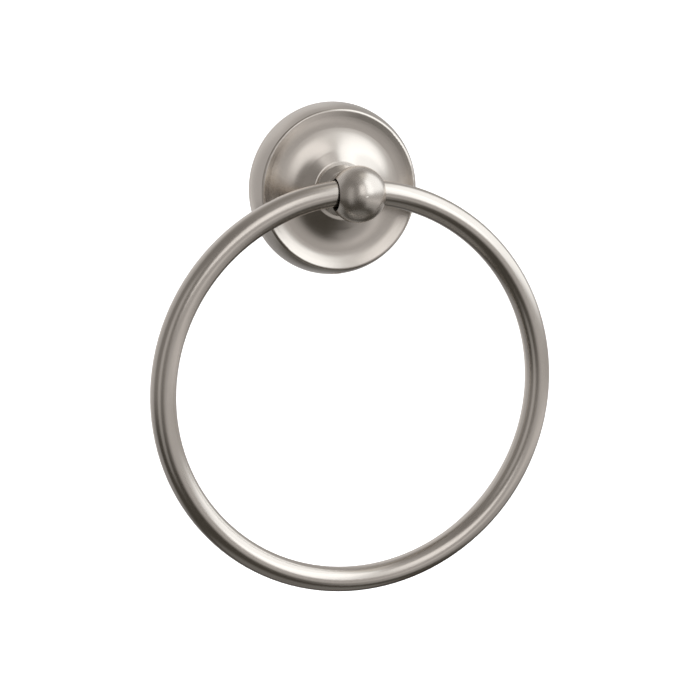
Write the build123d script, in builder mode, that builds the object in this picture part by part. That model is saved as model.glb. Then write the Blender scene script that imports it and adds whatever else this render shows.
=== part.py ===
from build123d import *
import os
from math import asin, cos, degrees, radians, sin, sqrt, tan

# Towel ring: a closed ring that swings in the ball of a short post, on a dished wall rosette.
# The rosette hooks over a bracket that is screwed to the wall, and a grub screw underneath locks it.
# The origin is on the wall, on the post's axis. +X is right, +Y goes into the wall and +Z is up.
# A standoff is a distance out from the wall, so a point at standoff d has y = -d. All is in millimetres.

# Ring
ring_outer_diameter = 158.8
bar_diameter = 9.6

# Ball and its cross bore
ball_standoff = 32.0
ball_wall = 4.7
mouth_clearance = 1.2
seat_clearance = 0.3
seat_width = 5.0
seat_lift = 0.9
seam_setback = 2.8
seam_chamfer = 0.25

# Rosette
lip_diameter = 61.4
lip_height = 10.4
lip_round = 0.95
base_flare = 2.9
base_edge = 0.8
side_bulge = 0.46
trough_inset = 6.85
rim_slope = 13.8
rim_bend = 18.0
hub_slope = 23.5
hub_bend = 21.5
hub_land = 1.35
hub_land_slope = 4.5
hub_round = 1.5
shell_wall = 2.0
rim_width = 2.4
hub_boss_diameter = 18.0
hub_web = 2.2

# Post
foot_diameter = 19.6
cone_height = 2.5
cone_run = 2.1
cone_edge_round = 0.25
cove_slope = 24.0
cove_run = 2.2
cove_end_round = 1.0
spigot_diameter = 10.0
spigot_flats = 8.0
spigot_length = 1.9
spigot_clearance = 0.1

# Cap pins
pin_diameter = 1.6
pin_length = 4.4
pin_wall = 0.7
pin_clearance = 0.03
pin_chamfer = 0.2

# Post screw and its washer
screw_diameter = 5.0
screw_length = 10.0
screw_head_diameter = 9.5
screw_head_height = 3.2
screw_head_round = 1.6
screw_tip_chamfer = 0.5
screw_hole_diameter = 5.5
recess_length = 4.8
recess_width = 1.1
recess_depth = 1.8
thread_clearance = 0.05
tap_runout = 0.8
washer_diameter = 9.2
washer_thickness = 1.2
washer_clearance = 0.15
washer_slot = 0.9

# Wall bracket
bracket_thickness = 1.6
bracket_side_gap = 4.2
bracket_headroom = 0.85
flange_inset = 13.2
flange_width = 18.0
flange_lean = 20.0
bend_radius = 1.0
bend_relief = 2.6
bracket_window_diameter = 16.0
wall_hole_spacing = 32.0
wall_hole_diameter = 5.0
hook_gap = 0.15
hook_width = 16.0
hook_thickness = 3.0
hook_back = 1.2

# Set screw
set_screw_diameter = 4.0
set_screw_length = 10.0
set_screw_tip_diameter = 2.0
set_screw_socket = 2.0
set_screw_socket_depth = 2.5
set_screw_gap = 0.15
set_screw_setback = 1.4
set_screw_boss_diameter = 7.4
set_screw_boss_gap = 3.0

# Radii and places that follow from the driving dimensions
bar_radius = bar_diameter / 2
ring_radius = ring_outer_diameter / 2 - bar_radius
mouth_radius = bar_radius + mouth_clearance
seat_radius = bar_radius + seat_clearance
ball_radius = mouth_radius + ball_wall
seam_standoff = ball_standoff - seam_setback
seam_radius = sqrt(ball_radius**2 - seam_setback**2)
pin_offset = mouth_radius + pin_wall + pin_diameter / 2

lip_radius = lip_diameter / 2
base_radius = lip_radius + base_flare
cavity_radius = base_radius - rim_width
foot_radius = foot_diameter / 2
hub_radius = foot_radius + hub_land
cone_edge_radius = foot_radius - cone_run
cove_end_radius = cone_edge_radius - cove_run

# The face has a cone round the hub, a trough of two bends that meet at its bottom, and a straight rim
# from there up to the lip
trough_radius = lip_radius - trough_inset
rim_run = trough_inset - rim_bend * sin(radians(rim_slope))
rim_rise = rim_run * tan(radians(rim_slope)) + rim_bend * (1 - cos(radians(rim_slope)))
trough_height = lip_height - rim_rise
hub_foot_radius = trough_radius - hub_bend * sin(radians(hub_slope))
hub_foot_height = trough_height + hub_bend * (1 - cos(radians(hub_slope)))
hub_height = hub_foot_height + (hub_foot_radius - hub_radius) * tan(radians(hub_slope))

# The ceiling of the hollow behind the face runs parallel to it
hub_boss_radius = hub_boss_diameter / 2
ceiling_height = trough_height - shell_wall
ceiling_foot_radius = hub_foot_radius - shell_wall * sin(radians(hub_slope))
ceiling_foot_height = hub_foot_height - shell_wall * cos(radians(hub_slope))
ceiling_rise = (ceiling_foot_radius - hub_boss_radius) * tan(radians(hub_slope))
ceiling_edge_turn = degrees(asin((trough_inset - shell_wall) / (rim_bend + shell_wall)))

foot_standoff = hub_height + hub_land * tan(radians(hub_land_slope))
cone_edge = foot_standoff + cone_height
cove_end = ball_standoff - sqrt(ball_radius**2 - cove_end_radius**2)
spigot_end = foot_standoff - spigot_length
pocket_floor = spigot_end - spigot_clearance
boss_back = pocket_floor - hub_web
screw_shoulder = boss_back - washer_thickness
screw_end = screw_shoulder + screw_length

bracket_radius = cavity_radius - bracket_side_gap
bracket_depth = ceiling_height - bracket_headroom
flange_root = cavity_radius - flange_inset
flange_slope = tan(radians(flange_lean))
flange_skew = bracket_thickness / cos(radians(flange_lean))
set_screw_standoff = bracket_depth - set_screw_setback
set_screw_boss_radius = set_screw_boss_diameter / 2


def flange_face(standoff):
    """Height of the flange's outer face above the post's axis, at a standoff from the wall."""
    return flange_root + standoff * flange_slope


set_screw_tip = flange_face(set_screw_standoff + set_screw_tip_diameter / 2) + set_screw_gap
set_screw_boss_end = flange_face(set_screw_standoff) + set_screw_boss_gap

# Planes that face out from the wall and back into it
seam_front = Plane(origin=(0, -seam_standoff, 0), x_dir=(1, 0, 0), z_dir=(0, -1, 0))
seam_back = Plane(origin=(0, -seam_standoff, 0), x_dir=(1, 0, 0), z_dir=(0, 1, 0))
spigot_face = Plane(origin=(0, -spigot_end, 0), x_dir=(1, 0, 0), z_dir=(0, 1, 0))

# Cross bore of the ball: a running seat in the middle, and a wider mouth on each side of it because
# the bar is bent. The seat is open towards the wall, so that the cap goes on over the bar.
with BuildPart() as cross_bore:
    with BuildSketch(Plane.YZ):
        with Locations((-ball_standoff, seat_lift)):
            Circle(seat_radius)
        with Locations((-ball_standoff, seat_lift)):
            Rectangle(seam_setback, 2 * seat_radius, align=(Align.MIN, Align.CENTER))
    extrude(amount=ball_radius, both=True)
    for side in (1, -1):
        with BuildSketch(Plane.YZ.offset(side * seat_width / 2)):
            with Locations((-ball_standoff, 0)):
                Circle(mouth_radius)
        extrude(amount=side * ball_radius)

# Hollow in the back of the rosette, less the hub boss, the hook over the bracket's upper flange and the
# boss that carries the set screw
with BuildPart() as rosette_hollow:
    with BuildSketch(Plane.XY):
        with BuildLine():
            bottom = (trough_radius, -ceiling_height)
            to_hub = JernArc(bottom, (-1, 0), hub_bend + shell_wall, hub_slope)
            to_rim = JernArc(bottom, (1, 0), rim_bend + shell_wall, -ceiling_edge_turn)
            side_wall = SagittaArc(to_rim @ 1, (cavity_radius, 0), -side_bulge)
            Polyline(
                side_wall @ 1,
                (0, 0),
                (0, -boss_back),
                (hub_boss_radius, -boss_back),
                (hub_boss_radius, -(ceiling_foot_height + ceiling_rise)),
                to_hub @ 1,
            )
        make_face()
    revolve(axis=Axis.Y)
    with BuildSketch(Plane.YZ):
        hook_lift = hook_gap / cos(radians(flange_lean))
        with BuildLine():
            Polyline(
                (-hook_back, flange_face(hook_back) + hook_lift),
                (-lip_height, flange_face(lip_height) + hook_lift),
                (-lip_height, flange_face(lip_height) + hook_lift + hook_thickness),
                (-hook_back, flange_face(hook_back) + hook_lift + hook_thickness),
                close=True,
            )
        make_face()
    extrude(amount=hook_width / 2, both=True, mode=Mode.SUBTRACT)
    with BuildSketch(Plane.XY.offset(-set_screw_boss_end)):
        with Locations((0, -set_screw_standoff)):
            Circle(set_screw_boss_radius)
            Rectangle(set_screw_boss_diameter, lip_height, align=(Align.CENTER, Align.MAX))
    extrude(amount=-base_radius, mode=Mode.SUBTRACT)

# Rosette: a die-cast dish with a rounded lip and a bulged side. The post's foot stands on the flat top of
# the hub, and a pocket with two flats stops the post from turning.
with BuildPart() as rosette:
    with BuildSketch(Plane.XY) as rosette_half:
        with BuildLine():
            bottom = (trough_radius, -trough_height)
            to_hub = JernArc(bottom, (-1, 0), hub_bend, hub_slope)
            to_rim = JernArc(bottom, (1, 0), rim_bend, -rim_slope)
            rim = Line(to_rim @ 1, (lip_radius, -lip_height))
            side = SagittaArc(rim @ 1, (base_radius, -base_edge), -side_bulge)
            Polyline(
                side @ 1,
                (base_radius, 0),
                (0, 0),
                (0, -foot_standoff),
                (foot_radius, -foot_standoff),
                (hub_radius, -hub_height),
                to_hub @ 1,
            )
        make_face()
        fillet(rosette_half.vertices().sort_by_distance((lip_radius, -lip_height))[0], lip_round)
        fillet(rosette_half.vertices().sort_by_distance((hub_radius, -hub_height))[0], hub_round)
    revolve(axis=Axis.Y)
    add(rosette_hollow.part, mode=Mode.SUBTRACT)
    with BuildSketch(Plane.XZ.offset(pocket_floor)):
        Circle(spigot_diameter / 2 + spigot_clearance)
        Rectangle(spigot_diameter * 2, spigot_flats + 2 * spigot_clearance, mode=Mode.INTERSECT)
    extrude(amount=hub_height, mode=Mode.SUBTRACT)
    with Locations(Plane.XZ.offset(pocket_floor)):
        Hole(screw_hole_diameter / 2, depth=2 * hub_web)
    with Locations(Plane(origin=(0, -set_screw_standoff, -base_radius), z_dir=(0, 0, -1))):
        Hole(set_screw_diameter / 2 + thread_clearance, depth=base_radius - set_screw_tip)
rosette.part.label = "rosette"

# Post: a turned cone with a cove from its front edge to the rear of the ball, which has half of the bore
with BuildPart() as post:
    with BuildSketch(Plane.XY) as post_half:
        with BuildLine():
            cone = Line((foot_radius, -foot_standoff), (cone_edge_radius, -cone_edge))
            cove_start = (-cos(radians(cove_slope)), -sin(radians(cove_slope)))
            cove = TangentArc(cone @ 1, (cove_end_radius, -cove_end), tangent=cove_start)
            ball_back = RadiusArc(cove @ 1, (seam_radius, -seam_standoff), ball_radius)
            Polyline(
                ball_back @ 1,
                (0, -seam_standoff),
                (0, -spigot_end),
                (spigot_diameter / 2, -spigot_end),
                (spigot_diameter / 2, -foot_standoff),
                cone @ 0,
            )
        make_face()
        fillet(post_half.vertices().sort_by_distance(cone @ 1)[0], cone_edge_round)
        fillet(post_half.vertices().sort_by_distance(cove @ 1)[0], cove_end_round)
        chamfer(post_half.vertices().sort_by_distance(ball_back @ 1)[0], seam_chamfer)
    revolve(axis=Axis.Y)
    with BuildSketch(spigot_face):
        Circle(spigot_diameter)
        Rectangle(spigot_diameter * 2, spigot_flats, mode=Mode.SUBTRACT)
    extrude(amount=-spigot_length, mode=Mode.SUBTRACT)
    with Locations(spigot_face):
        Hole(screw_diameter / 2 + thread_clearance, depth=screw_end + tap_runout - spigot_end)
    add(cross_bore.part, mode=Mode.SUBTRACT)
    with Locations(seam_front):
        with Locations((0, pin_offset), (0, -pin_offset)):
            Hole(pin_diameter / 2 + pin_clearance, depth=pin_length / 2 + pin_clearance)
post.part.label = "post"

# Ball cap: the front of the ball, which closes the bore over the ring
with BuildPart() as ball_cap:
    with BuildSketch(Plane.XY) as cap_half:
        with BuildLine():
            dome = ThreePointArc(
                (seam_radius, -seam_standoff),
                (ball_radius, -ball_standoff),
                (0, -(ball_standoff + ball_radius)),
            )
            Polyline(dome @ 1, (0, -seam_standoff), dome @ 0)
        make_face()
        chamfer(cap_half.vertices().sort_by_distance(dome @ 0)[0], seam_chamfer)
    revolve(axis=Axis.Y)
    add(cross_bore.part, mode=Mode.SUBTRACT)
    with Locations(seam_back):
        with Locations((0, pin_offset), (0, -pin_offset)):
            Hole(pin_diameter / 2 + pin_clearance, depth=pin_length / 2 + pin_clearance)
ball_cap.part.label = "ball_cap"

# Cap pins: two dowels, above and below the bore, half in the post and half in the cap
with BuildPart() as cap_pins:
    with BuildSketch(Plane.XZ.offset(seam_standoff - pin_length / 2)):
        with Locations((0, pin_offset), (0, -pin_offset)):
            Circle(pin_diameter / 2)
    extrude(amount=pin_length)
    chamfer(cap_pins.edges().filter_by(GeomType.CIRCLE), pin_chamfer)
cap_pins.part.label = "cap_pins"

# Ring: one length of round bar, bent to a circle, welded and ground flush. It hangs from the seat.
with BuildPart() as ring:
    with BuildSketch(Plane.YZ):
        with Locations((-ball_standoff, seat_lift)):
            Circle(bar_radius)
    revolve(axis=Axis((0, 0, seat_lift - ring_radius), (0, 1, 0)))
ring.part.label = "ring"

# Post screw: a pan head with a cross recess, driven from the back of the rosette into the post
with BuildPart() as post_screw:
    with BuildSketch(Plane.XY) as screw_half:
        with BuildLine():
            Polyline(
                (0, -(screw_shoulder - screw_head_height)),
                (screw_head_diameter / 2, -(screw_shoulder - screw_head_height)),
                (screw_head_diameter / 2, -screw_shoulder),
                (screw_diameter / 2, -screw_shoulder),
                (screw_diameter / 2, -screw_end),
                (0, -screw_end),
                close=True,
            )
        make_face()
        head_rim = (screw_head_diameter / 2, -(screw_shoulder - screw_head_height))
        fillet(screw_half.vertices().sort_by_distance(head_rim)[0], screw_head_round)
        tip_rim = (screw_diameter / 2, -screw_end)
        chamfer(screw_half.vertices().sort_by_distance(tip_rim)[0], screw_tip_chamfer)
    revolve(axis=Axis.Y)
    with BuildSketch(Plane.XZ.offset(screw_shoulder - screw_head_height)):
        Rectangle(recess_length, recess_width)
        Rectangle(recess_width, recess_length)
    extrude(amount=recess_depth, mode=Mode.SUBTRACT)
post_screw.part.label = "post_screw"

# Spring washer: a split ring of square wire, pressed flat under the screw's head
with BuildPart() as spring_washer:
    with BuildSketch(Plane.XZ.offset(screw_shoulder)):
        Circle(washer_diameter / 2)
        Circle(screw_diameter / 2 + washer_clearance, mode=Mode.SUBTRACT)
        Rectangle(washer_slot, washer_diameter, align=(Align.CENTER, Align.MIN), mode=Mode.SUBTRACT)
    extrude(amount=washer_thickness)
spring_washer.part.label = "spring_washer"

# Wall bracket: a stamped plate with a leaning flange bent up at its upper and lower edges
with BuildPart() as wall_bracket:
    with BuildSketch(Plane.XZ):
        Circle(bracket_radius)
        Rectangle(2 * bracket_radius, 2 * (flange_root - bend_relief), mode=Mode.INTERSECT)
    extrude(amount=bracket_thickness)
    for side in (1, -1):
        with BuildSketch(Plane.YZ) as strip:
            outer_bend = (0, side * flange_root)
            inner_bend = (-bracket_thickness, side * (flange_face(bracket_thickness) - flange_skew))
            with BuildLine():
                Polyline(
                    (0, 0),
                    outer_bend,
                    (-bracket_depth, side * flange_face(bracket_depth)),
                    (-bracket_depth, side * (flange_face(bracket_depth) - flange_skew)),
                    inner_bend,
                    (-bracket_thickness, 0),
                    close=True,
                )
            make_face()
            fillet(strip.vertices().sort_by_distance(outer_bend)[0], bend_radius + bracket_thickness)
            fillet(strip.vertices().sort_by_distance(inner_bend)[0], bend_radius)
        extrude(amount=flange_width / 2, both=True)
    with Locations(Plane.XZ):
        with Locations((wall_hole_spacing / 2, 0), (-wall_hole_spacing / 2, 0)):
            Hole(wall_hole_diameter / 2)
        Hole(bracket_window_diameter / 2)
wall_bracket.part.label = "wall_bracket"

# Set screw: a hexagon-socket grub screw that bears up on the bracket's lower flange
with BuildPart() as set_screw:
    set_screw_cone = (set_screw_diameter - set_screw_tip_diameter) / 2
    with BuildSketch(Plane.XZ.offset(set_screw_standoff)) as grub_half:
        with BuildLine():
            Polyline(
                (0, -set_screw_tip),
                (set_screw_tip_diameter / 2, -set_screw_tip),
                (set_screw_diameter / 2, -(set_screw_tip + set_screw_cone)),
                (set_screw_diameter / 2, -(set_screw_tip + set_screw_length)),
                (0, -(set_screw_tip + set_screw_length)),
                close=True,
            )
        make_face()
    revolve(axis=Axis((0, -set_screw_standoff, 0), (0, 0, 1)))
    with BuildSketch(Plane.XY.offset(-(set_screw_tip + set_screw_length))):
        with Locations((0, -set_screw_standoff)):
            RegularPolygon(set_screw_socket / 2, 6, major_radius=False)
    extrude(amount=set_screw_socket_depth, mode=Mode.SUBTRACT)
set_screw.part.label = "set_screw"

os.makedirs("parts", exist_ok=True)
export_step(rosette.part, "parts/rosette.step")
export_step(post.part, "parts/post.step")
export_step(ball_cap.part, "parts/ball_cap.step")
export_step(cap_pins.part, "parts/cap_pins.step")
export_step(ring.part, "parts/ring.step")
export_step(post_screw.part, "parts/post_screw.step")
export_step(spring_washer.part, "parts/spring_washer.step")
export_step(wall_bracket.part, "parts/wall_bracket.step")
export_step(set_screw.part, "parts/set_screw.step")
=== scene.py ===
from math import cos, pi, radians, sin

import bpy
from mathutils import Matrix, Vector


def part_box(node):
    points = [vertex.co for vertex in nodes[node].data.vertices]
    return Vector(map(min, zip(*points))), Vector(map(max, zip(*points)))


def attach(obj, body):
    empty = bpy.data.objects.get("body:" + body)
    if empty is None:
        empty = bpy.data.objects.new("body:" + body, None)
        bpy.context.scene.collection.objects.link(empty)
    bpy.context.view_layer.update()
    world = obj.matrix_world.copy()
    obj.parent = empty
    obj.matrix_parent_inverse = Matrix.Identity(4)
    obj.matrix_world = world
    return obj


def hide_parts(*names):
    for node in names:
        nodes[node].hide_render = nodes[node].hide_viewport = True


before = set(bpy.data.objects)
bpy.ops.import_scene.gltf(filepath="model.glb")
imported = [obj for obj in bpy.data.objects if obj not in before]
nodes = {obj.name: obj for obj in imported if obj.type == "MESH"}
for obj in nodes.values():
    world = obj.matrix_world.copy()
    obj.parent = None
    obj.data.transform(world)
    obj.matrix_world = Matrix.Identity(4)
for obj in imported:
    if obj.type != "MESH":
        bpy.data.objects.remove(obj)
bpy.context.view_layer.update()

# Post: the die-cast stem whose front is the rear of the ball, with half of the ring's bore.
# It is turned and brushed on a lathe, so the fine marks run round its axis, and plated in satin nickel.
# A spigot with two flats keys its foot into the rosette, and a screw from behind pulls it home.
nickel_light = (0.725, 0.671, 0.614, 1.0)
nickel_deep = (0.699, 0.646, 0.590, 1.0)
nickel_cloud_size = 0.018
nickel_cloud_detail = 2.0
brush_pitch = 0.00022
brush_repeats = 5.0
brush_detail = 3.0
brush_depth = 0.000004
satin_smooth = 0.195
satin_rough = 0.250
centre_plain = 0.0006
centre_brushed = 0.0025
noise_low = 0.3
noise_middle = 0.5
noise_high = 0.7
mix_sockets = {"FLOAT": (2, 3, 0), "VECTOR": (4, 5, 1), "RGBA": (6, 7, 2)}


def shader_node(tree, kind, inputs=None, **settings):
    """Add a node of this kind. Each input is set to its value, or linked if the value is a socket."""
    node = tree.nodes.new(f"ShaderNode{kind}")
    for name, value in settings.items():
        setattr(node, name, value)
    for socket, value in (inputs or {}).items():
        if isinstance(value, bpy.types.NodeSocket):
            tree.links.new(value, node.inputs[socket])
        else:
            node.inputs[socket].default_value = value
    return node


def maths(tree, operation, *values):
    """Result of one step of arithmetic on sockets or numbers."""
    return shader_node(tree, "Math", dict(enumerate(values)), operation=operation).outputs[0]


def vector_maths(tree, operation, *values, result=0):
    """Result of one step of arithmetic on directions or places."""
    return shader_node(tree, "VectorMath", dict(enumerate(values)), operation=operation).outputs[result]


def from_axis(tree, place):
    """Spoke from the Y axis out to the place, the spoke's length, and the distance along the axis."""
    spoke = vector_maths(tree, "MULTIPLY", place, (1, 0, 1))
    radius = vector_maths(tree, "LENGTH", spoke, result="Value")
    depth = shader_node(tree, "SeparateXYZ", {0: place}).outputs["Y"]
    return spoke, radius, depth


def noise(tree, place, size, detail):
    """Soft noise with blotches of this size, mostly between its low and its high value."""
    inputs = {"Vector": place, "Scale": 1 / size, "Detail": detail}
    return shader_node(tree, "TexNoise", inputs).outputs["Fac"]


def spread(tree, value, low, high, start=noise_low, end=noise_high):
    """Stretch a value, by default a noise, from its usual range to the range from low to high."""
    inputs = {"Value": value, "From Min": start, "From Max": end, "To Min": low, "To Max": high}
    return shader_node(tree, "MapRange", inputs).outputs["Result"]


def mixed(tree, share, first, second, kind="RGBA"):
    """Blend of two colours, or of two values of another kind, by a share from 0 to 1."""
    before, after, result = mix_sockets[kind]
    inputs = {0: share, before: first, after: second}
    return shader_node(tree, "Mix", inputs, data_type=kind).outputs[result]


def bumped(tree, height, depth):
    """Normal of the surface with a pattern of heights on it, raised by the depth at most."""
    inputs = {"Strength": 1.0, "Distance": depth, "Height": height}
    return shader_node(tree, "Bump", inputs).outputs["Normal"]


def blank_metal(name):
    """New metal, with its node tree, its shader and the socket that gives the place on the piece."""
    material = bpy.data.materials.new(name)
    material.use_nodes = True
    tree = material.node_tree
    shader = tree.nodes["Principled BSDF"]
    shader.inputs["Metallic"].default_value = 1.0
    return material, tree, shader, shader_node(tree, "TexCoord").outputs["Object"]


def dress(tree, shader, colour, roughness, normal):
    """Link a metal's colour, roughness and normal to its shader."""
    tree.links.new(colour, shader.inputs["Base Color"])
    tree.links.new(roughness, shader.inputs["Roughness"])
    tree.links.new(normal, shader.inputs["Normal"])


def satin_nickel(piece, turned_about=(0.0, 0.0, 0.0), dullness=0.0):
    """Satin nickel plate, with brush marks round the line along Y that the piece was turned about."""
    material, tree, shader, place = blank_metal(f"satin_nickel_{piece}")
    offset = [-value for value in turned_about]
    centred = shader_node(tree, "Mapping", {"Vector": place, "Location": offset}).outputs["Vector"]
    spoke, radius, depth = from_axis(tree, centred)
    bearing = shader_node(tree, "SeparateXYZ", {0: vector_maths(tree, "NORMALIZE", spoke)})
    mark = shader_node(tree, "CombineXYZ", {0: radius, 1: depth, 2: bearing.outputs["X"]}).outputs[0]
    mark = vector_maths(tree, "MULTIPLY", mark, (1 / brush_pitch, 1 / brush_pitch, brush_repeats))
    turn = maths(tree, "MULTIPLY", bearing.outputs["Z"], brush_repeats)
    inputs = {"Vector": mark, "W": turn, "Scale": 1.0, "Detail": brush_detail}
    brushing = shader_node(tree, "TexNoise", inputs, noise_dimensions="4D").outputs["Fac"]
    swing = maths(tree, "SUBTRACT", brushing, noise_middle)
    brushed = spread(tree, radius, 0.0, 1.0, start=centre_plain, end=centre_brushed)
    brushing = maths(tree, "MULTIPLY_ADD", swing, brushed, noise_middle)
    clouds = noise(tree, place, nickel_cloud_size, nickel_cloud_detail)
    dress(
        tree, shader,
        colour=mixed(tree, spread(tree, clouds, 0.0, 1.0), nickel_light, nickel_deep),
        roughness=spread(tree, brushing, satin_smooth + dullness, satin_rough + dullness),
        normal=bumped(tree, brushing, brush_depth),
    )
    return material


nodes["post"].material_slots[0].material = satin_nickel("post")

# Cap pins: two plain steel dowels, above and below the bore, half in the post and half in the cap.
# They are pressed in, zinc-plated, and can't be seen once the cap is on.
zinc_blue = (0.66, 0.68, 0.70, 1.0)
zinc_straw = (0.72, 0.70, 0.65, 1.0)
zinc_patch_size = 0.0035
zinc_patch_detail = 3.0
zinc_grain_size = 0.0003
zinc_grain_detail = 2.0
zinc_grain_depth = 0.00001
zinc_smooth = 0.30
zinc_rough = 0.46


def zinc_plate(piece):
    """Bright zinc on steel: bluish, with faint straw-coloured patches and a fine grain."""
    material, tree, shader, place = blank_metal(f"zinc_plate_{piece}")
    patches = noise(tree, place, zinc_patch_size, zinc_patch_detail)
    grain = noise(tree, place, zinc_grain_size, zinc_grain_detail)
    dress(
        tree, shader,
        colour=mixed(tree, spread(tree, patches, 0.0, 1.0), zinc_blue, zinc_straw),
        roughness=spread(tree, patches, zinc_smooth, zinc_rough),
        normal=bumped(tree, grain, zinc_grain_depth),
    )
    return material


nodes["cap_pins"].material_slots[0].material = zinc_plate("cap_pins")

# Ring: one length of round steel bar, bent to a circle, welded and ground flush, then plated.
# It is brushed along the bar, so its marks follow the circle, and it hangs and swings in the ball's bore.
ring_low, ring_high = (Vector(corner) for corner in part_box("ring"))
ring_centre = (ring_low + ring_high) / 2
nodes["ring"].material_slots[0].material = satin_nickel("ring", ring_centre)

# Ball cap: the front of the ball, die-cast and turned, which closes the bore over the ring.
# It is pressed on over the two pins, and its seam with the post shows as a fine line round the ball.
cap_dullness = 0.05
nodes["ball_cap"].material_slots[0].material = satin_nickel("ball_cap", dullness=cap_dullness)

# Rosette: a die-cast zinc dish with a rounded lip, plated and brushed in rings on its face and side.
# Its hollow back has a thin plate over the rough casting, and a hook there goes over the wall bracket.
cast_light = (0.52, 0.50, 0.47, 1.0)
cast_deep = (0.40, 0.385, 0.36, 1.0)
cast_grain_size = 0.0007
cast_grain_detail = 4.0
cast_grain_depth = 0.00006
cast_smooth = 0.40
cast_rough = 0.58
hollow_radius = 0.0313
hollow_standoff = 0.0083
hollow_cone_radius = 0.0205
hollow_cone_slope = 0.435
rosette_nickel = satin_nickel("rosette")


def roughen_hollow(material):
    """Show the casting's grain inside the hollow, by its place, and leave the brushed plate elsewhere."""
    tree = material.node_tree
    shader = tree.nodes["Principled BSDF"]
    plate_colour = shader.inputs["Base Color"].links[0].from_socket
    plate_roughness = shader.inputs["Roughness"].links[0].from_socket
    plate_normal = shader.inputs["Normal"].links[0].from_socket
    place = shader_node(tree, "TexCoord").outputs["Object"]
    _, radius, depth = from_axis(tree, place)
    inward = maths(tree, "MAXIMUM", maths(tree, "SUBTRACT", hollow_cone_radius, radius), 0.0)
    ceiling = maths(tree, "MULTIPLY_ADD", inward, hollow_cone_slope, hollow_standoff)
    behind = maths(tree, "GREATER_THAN", maths(tree, "ADD", depth, ceiling), 0.0)
    hollow = maths(tree, "MULTIPLY", behind, maths(tree, "LESS_THAN", radius, hollow_radius))
    grain = noise(tree, place, cast_grain_size, cast_grain_detail)
    cast_colour = mixed(tree, spread(tree, grain, 0.0, 1.0), cast_light, cast_deep)
    cast_roughness = spread(tree, grain, cast_smooth, cast_rough)
    cast_normal = bumped(tree, grain, cast_grain_depth)
    dress(
        tree, shader,
        colour=mixed(tree, hollow, plate_colour, cast_colour),
        roughness=mixed(tree, hollow, plate_roughness, cast_roughness, kind="FLOAT"),
        normal=mixed(tree, hollow, plate_normal, cast_normal, kind="VECTOR"),
    )


roughen_hollow(rosette_nickel)
nodes["rosette"].material_slots[0].material = rosette_nickel

# Spring washer: a split ring of square steel wire, zinc-plated.
# It is pressed flat under the head of the post screw, and keeps it tight when the ring is knocked.
nodes["spring_washer"].material_slots[0].material = zinc_plate("spring_washer")

# Post screw: an M5 pan-head machine screw with a cross recess, of zinc-plated steel.
# It is cold-headed and its thread is rolled. It goes into the post from the back of the rosette,
# and its head shows in the bracket's window.
screw_low, screw_high = (Vector(corner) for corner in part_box("post_screw"))
screw_centre = Vector((0.0, 0.0, 0.0))
screw_radius = 0.0025
screw_pitch = 0.0008
screw_tip_chamfer = 0.0005
screw_head_radius = screw_high.x
screw_head_height = 0.0032
screw_head_round = 0.0016
screw_shoulder = screw_high.y - screw_head_height
head_overlap = 0.0006
recess_length = 0.0048
recess_width = 0.0011
recess_depth = 0.0018
recess_rise = 0.0001
recess_draft = 0.25
axis_direction = {"Y": Vector((0, 1, 0)), "Z": Vector((0, 0, 1))}
outward = Vector((1, 0, 0))
# The next four sizes of a thread are in pitches, and the first three set its flanks 60 degrees apart
thread_depth = 0.575
thread_root = 0.21
thread_crest = 0.125
thread_overrun = 0.5
thread_steps = 40
spare_turns = 4
blank_margin = 1.01
round_sides = 64
round_segments = 6
chamfer_segments = 1
smooth_angle = radians(32)
weld_tolerance = 1e-6
cut_tolerance = 1e-7


def choose(piece):
    """Select this piece and no other, and make it the active one."""
    bpy.ops.object.select_all(action="DESELECT")
    piece.select_set(True)
    bpy.context.view_layer.objects.active = piece


def edit_all(piece):
    """Open the piece in edit mode with all of it selected."""
    choose(piece)
    bpy.ops.object.mode_set(mode="EDIT")
    bpy.ops.mesh.select_all(action="SELECT")


def unpick(piece):
    """Leave no corner, edge or face of the piece selected."""
    edit_all(piece)
    bpy.ops.mesh.select_all(action="DESELECT")
    bpy.ops.object.mode_set(mode="OBJECT")


def cut_with(piece, tool, operation):
    """Apply a Boolean with the tool to the piece, and throw the tool away."""
    boolean = piece.modifiers.new("cut", "BOOLEAN")
    boolean.operation = operation
    boolean.object = tool
    boolean.solver = "EXACT"
    bpy.context.view_layer.objects.active = piece
    bpy.ops.object.modifier_apply(modifier=boolean.name)
    bpy.data.objects.remove(tool)


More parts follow.
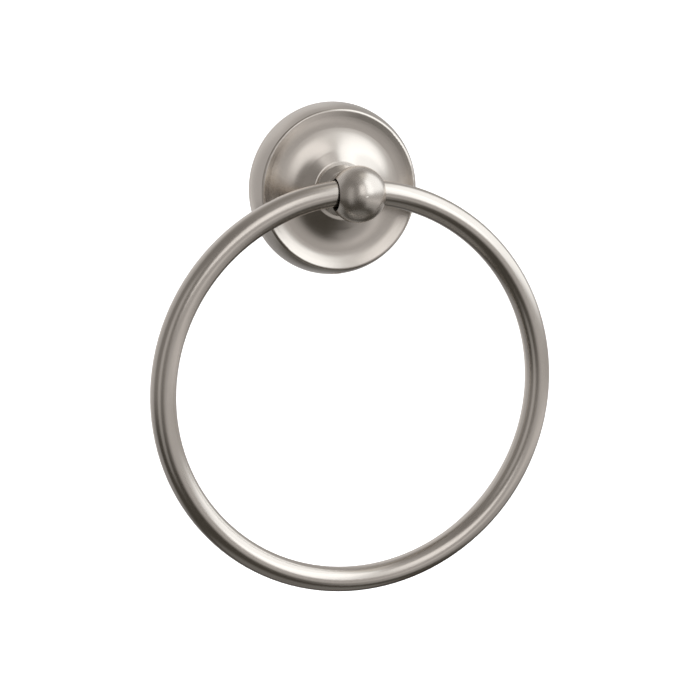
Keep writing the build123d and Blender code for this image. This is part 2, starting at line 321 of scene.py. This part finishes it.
def thread(name, axis, centre, radius, pitch, start, end):
    """Threaded rod along the axis, a little past start and end, with its crest at the radius."""
    along = axis_direction[axis]
    rise = outward * (thread_depth * pitch)
    flank = along * ((1 - thread_root - thread_crest) / 2 * pitch)
    lead = along * (start - spare_turns / 2 * pitch)
    overrun = thread_overrun * pitch
    bpy.ops.object.select_all(action="DESELECT")
    bpy.ops.mesh.primitive_plane_add(size=pitch, location=centre)
    rod = bpy.context.object
    rod.name = name
    edit_all(rod)
    bpy.ops.mesh.merge(type="CENTER")
    bpy.ops.transform.translate(value=outward * radius - rise + lead)
    steps = (along * (thread_root * pitch), flank + rise, along * (thread_crest * pitch), flank - rise)
    for step in steps:
        bpy.ops.mesh.extrude_vertices_move(TRANSFORM_OT_translate={"value": step})
    bpy.ops.object.mode_set(mode="OBJECT")
    screw = rod.modifiers.new("thread", "SCREW")
    screw.axis = axis
    screw.screw_offset = pitch
    screw.iterations = int((end - start) / pitch) + spare_turns
    screw.steps = screw.render_steps = thread_steps
    bpy.ops.object.modifier_apply(modifier=screw.name)
    bpy.ops.object.transform_apply(location=True, rotation=True, scale=True)
    edit_all(rod)
    bpy.ops.mesh.remove_doubles(threshold=weld_tolerance)
    for cut, facing in ((start - overrun, -along), (end + overrun, along)):
        bpy.ops.mesh.bisect(
            plane_co=centre + along * cut, plane_no=facing, use_fill=True, clear_outer=True,
            threshold=cut_tolerance,
        )
        bpy.ops.mesh.select_all(action="SELECT")
    bpy.ops.mesh.normals_make_consistent(inside=False)
    bpy.ops.object.mode_set(mode="OBJECT")
    return rod


def turned_pin(name, axis, centre, radius, start, end, rounding, segments, round_start):
    """Plain round pin from start to end along the axis, with one of its two ends bevelled."""
    along = axis_direction[axis]
    bpy.ops.object.select_all(action="DESELECT")
    bpy.ops.mesh.primitive_cylinder_add(
        vertices=round_sides, radius=radius, depth=end - start,
        location=centre + along * (start + end) / 2,
        rotation=along.to_track_quat("Z", "Y").to_euler(),
    )
    pin = bpy.context.object
    pin.name = name
    bpy.ops.object.transform_apply(location=True, rotation=True, scale=True)
    unpick(pin)
    limit = centre.dot(along) + (start if round_start else end)
    rim = {v.index for v in pin.data.vertices if abs(v.co.dot(along) - limit) < weld_tolerance}
    for edge in pin.data.edges:
        edge.select = rim.issuperset(edge.vertices)
    bpy.ops.object.mode_set(mode="EDIT")
    bpy.ops.mesh.bevel(offset=rounding, segments=segments)
    bpy.ops.object.mode_set(mode="OBJECT")
    return pin


def finish_fastener(piece, material, node):
    """Settle the piece at the origin, smooth it, dress it and let it stand for its CAD node."""
    choose(piece)
    bpy.ops.object.transform_apply(location=True, rotation=True, scale=True)
    edit_all(piece)
    bpy.ops.mesh.remove_doubles(threshold=cut_tolerance)
    bpy.ops.mesh.normals_make_consistent(inside=False)
    bpy.ops.object.mode_set(mode="OBJECT")
    bpy.ops.object.shade_smooth_by_angle(angle=smooth_angle)
    piece.data.materials.clear()
    piece.data.materials.append(material)
    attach(piece, "fitting")
    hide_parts(node)


shank_end = screw_shoulder + head_overlap
post_screw = thread(
    "threaded_post_screw", "Y", screw_centre, screw_radius, screw_pitch, screw_low.y, shank_end
)
screw_blank = turned_pin(
    "screw_blank", "Y", screw_centre, screw_radius * blank_margin, screw_low.y, shank_end,
    rounding=screw_tip_chamfer, segments=chamfer_segments, round_start=True,
)
cut_with(post_screw, screw_blank, "INTERSECT")
screw_head = turned_pin(
    "screw_head", "Y", screw_centre, screw_head_radius, screw_shoulder, screw_high.y,
    rounding=screw_head_round, segments=round_segments, round_start=False,
)
cut_with(post_screw, screw_head, "UNION")
for turn in (0, 90):
    bpy.ops.object.select_all(action="DESELECT")
    bpy.ops.mesh.primitive_cube_add(size=1.0)
    wing = bpy.context.object
    wing.scale = (recess_length, recess_depth + recess_rise, recess_width)
    wing.rotation_euler = (0, radians(turn), 0)
    wing.location = (0, screw_high.y + (recess_rise - recess_depth) / 2, 0)
    bpy.ops.object.transform_apply(location=True, rotation=True, scale=True)
    unpick(wing)
    corners = wing.data.vertices
    floor_limit = min(v.co.y for v in corners) + weld_tolerance
    for face in wing.data.polygons:
        face.select = all(corners[v].co.y < floor_limit for v in face.vertices)
    bpy.ops.object.mode_set(mode="EDIT")
    bpy.ops.transform.resize(value=(recess_draft, 1, recess_draft))
    bpy.ops.object.mode_set(mode="OBJECT")
    cut_with(post_screw, wing, "DIFFERENCE")
finish_fastener(post_screw, zinc_plate("post_screw"), "post_screw")

# Wall bracket: a stamped plate of zinc-plated steel, screwed flat to the wall through its two holes.
# Its upper flange carries the rosette's hook, and the set screw bears on its lower flange.
nodes["wall_bracket"].material_slots[0].material = zinc_plate("wall_bracket")

# Set screw: an M4 grub screw with a hexagon socket, thread-rolled and zinc-plated.
# It goes up through the rosette's lower side, and its tip wedges the rosette against the wall.
grub_low, grub_high = (Vector(corner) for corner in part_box("set_screw"))
grub_centre = Vector((0.0, (grub_low.y + grub_high.y) / 2, 0.0))
grub_radius = grub_high.x
grub_pitch = 0.0007
grub_tip_chamfer = 0.001
socket_sides = 6
socket_width = 0.002
socket_depth = 0.0025
grub = thread("threaded_set_screw", "Z", grub_centre, grub_radius, grub_pitch, grub_low.z, grub_high.z)
grub_blank = turned_pin(
    "grub_blank", "Z", grub_centre, grub_radius * blank_margin, grub_low.z, grub_high.z,
    rounding=grub_tip_chamfer, segments=chamfer_segments, round_start=False,
)
cut_with(grub, grub_blank, "INTERSECT")
bpy.ops.object.select_all(action="DESELECT")
bpy.ops.mesh.primitive_cylinder_add(
    vertices=socket_sides, radius=socket_width / 2 / cos(pi / socket_sides), depth=2 * socket_depth,
    location=(0, grub_centre.y, grub_low.z),
)
cut_with(grub, bpy.context.object, "DIFFERENCE")
finish_fastener(grub, zinc_plate("set_screw"), "set_screw")

# Studio floor: plain white paper that runs out far below the part and up all round it.
# Only the camera sees it, so that it takes no part in the light on the metal.
cove_radius = 3.0
cove_sides = 96
floor_depth = 1.0
paper_colour = (0.9, 0.9, 0.9, 1.0)
paper_glow = (1.0, 1.0, 1.0, 1.0)
paper_glow_strength = 1.0
bpy.ops.object.select_all(action="DESELECT")
bpy.ops.mesh.primitive_cylinder_add(
    vertices=cove_sides, radius=cove_radius, depth=2 * cove_radius,
    location=(0, 0, cove_radius - floor_depth),
)
cove = bpy.context.object
cove.name = "cove"
cove_paper = bpy.data.materials.new("cove_paper")
cove_paper.use_nodes = True
cove_shader = cove_paper.node_tree.nodes["Principled BSDF"]
cove_shader.inputs["Base Color"].default_value = paper_colour
cove_shader.inputs["Emission Color"].default_value = paper_glow
cove_shader.inputs["Emission Strength"].default_value = paper_glow_strength
cove.data.materials.append(cove_paper)
cove.visible_glossy = False
cove.visible_diffuse = False
cove.visible_transmission = False
cove.visible_shadow = False

# Studio light: a pale room, dim to the front left and dark below, with soft lamps let into it.
# Azimuth 0 is the room side of the part and 90 is its right. All angles are in degrees.
bright_wall = (0.435, 0.425, 0.418, 1.0)
dim_wall = (0.226, 0.216, 0.208, 1.0)
dim_azimuth = -72.0
dim_from = 0.137
dim_to = 0.554
ceiling_light = (0.281, 0.270, 0.259, 1.0)
ceiling_edge = 66.0
ceiling_blur = 10.0
floor_light = (0.060, 0.055, 0.047, 1.0)
floor_edge = -24.4
floor_edge_dim = -15.8
floor_blur = 8.0
half_turn = 180.0

world = bpy.data.worlds.new("studio")
world.use_nodes = True
bpy.context.scene.world = world
room = world.node_tree
towards = shader_node(room, "TexCoord").outputs["Generated"]
axes = shader_node(room, "SeparateXYZ", {0: towards})
front = maths(room, "MULTIPLY", axes.outputs["Y"], -1.0)
azimuth = maths(room, "DEGREES", maths(room, "ARCTAN2", axes.outputs["X"], front))
elevation = maths(room, "DEGREES", maths(room, "ARCSINE", axes.outputs["Z"]))


def ramp(value, start, end):
    """Smooth step in the room from 0 at start to 1 at end."""
    inputs = {"Value": value, "From Min": start, "From Max": end}
    return shader_node(room, "MapRange", inputs, interpolation_type="SMOOTHSTEP").outputs["Result"]


dim_side = (sin(radians(dim_azimuth)), -cos(radians(dim_azimuth)), 0.0)
dimness = ramp(vector_maths(room, "DOT_PRODUCT", towards, dim_side, result="Value"), dim_from, dim_to)
overhead = ramp(elevation, ceiling_edge - ceiling_blur, ceiling_edge + ceiling_blur)
skirting = maths(room, "MULTIPLY_ADD", dimness, floor_edge_dim - floor_edge, floor_edge)
above_floor = ramp(maths(room, "SUBTRACT", elevation, skirting), -floor_blur, floor_blur)
light = mixed(room, dimness, bright_wall, dim_wall)
light = mixed(room, overhead, light, ceiling_light)
light = mixed(room, above_floor, floor_light, light)


def lamp(before, at, size, blur, colour):
    """Add a soft-edged lamp to the light before it. Its place and size are in azimuth and elevation."""
    aside = maths(room, "WRAP", maths(room, "SUBTRACT", azimuth, at[0]), half_turn, -half_turn)
    aside = maths(room, "ABSOLUTE", aside)
    upward = maths(room, "ABSOLUTE", maths(room, "SUBTRACT", elevation, at[1]))
    across = ramp(aside, (size[0] + blur) / 2, (size[0] - blur) / 2)
    within = ramp(upward, (size[1] + blur) / 2, (size[1] - blur) / 2)
    share = maths(room, "MULTIPLY", across, within)
    glow = shader_node(room, "VectorMath", {0: colour, "Scale": share}, operation="SCALE").outputs[0]
    return vector_maths(room, "ADD", before, glow)


# Key at the right, in two parts, and the front lamp beside it
light = lamp(light, at=(77.8, 34.3), size=(69.4, 58.1), blur=14.5, colour=(0.888, 0.945, 0.994))
light = lamp(light, at=(31.9, 30.0), size=(25.5, 53.5), blur=5.9, colour=(1.087, 1.148, 1.198))
light = lamp(light, at=(0.0, 20.8), size=(23.0, 36.6), blur=5.1, colour=(0.763, 0.767, 0.777))
# Narrow panel at the left, and an overhead panel above the key
light = lamp(light, at=(-46.7, -2.2), size=(23.5, 62.3), blur=11.6, colour=(0.246, 0.246, 0.247))
light = lamp(light, at=(62.5, 72.9), size=(90.0, 24.8), blur=11.0, colour=(0.343, 0.341, 0.322))
# Light that comes back from the floor, from the wall behind and from a low table at the right
light = lamp(light, at=(0.0, -76.3), size=(400.0, 24.5), blur=8.9, colour=(0.124, 0.125, 0.126))
light = lamp(light, at=(-151.3, 2.0), size=(101.0, 96.5), blur=20.3, colour=(0.265, 0.268, 0.275))
light = lamp(light, at=(63.9, -30.3), size=(91.0, 30.2), blur=11.2, colour=(0.310, 0.307, 0.310))
room.links.new(light, room.nodes["Background"].inputs["Color"])

# Camera: at the photograph's place, found from the outlines of the ring, the rosette and the ball.
# It is a long lens from the front left, a little above the ball.
camera_place = Vector((-0.18978, -0.60099, 0.04413))
camera_azimuth = -18.184
camera_elevation = 9.73
camera_roll = 0.239
camera_sensor = 36.0
camera_lens = 82.86
camera_reach = 100.0
bpy.ops.object.camera_add()
camera = bpy.context.object
camera.data.sensor_width = camera_sensor
camera.data.lens = camera_lens
camera.data.clip_end = camera_reach
camera.matrix_world = (
    Matrix.Translation(camera_place)
    @ Matrix.Rotation(radians(camera_azimuth), 4, "Z")
    @ Matrix.Rotation(radians(90 - camera_elevation), 4, "X")
    @ Matrix.Rotation(radians(camera_roll), 4, "Z")
)
bpy.context.scene.camera = camera
bpy.context.scene.view_settings.view_transform = "Standard"
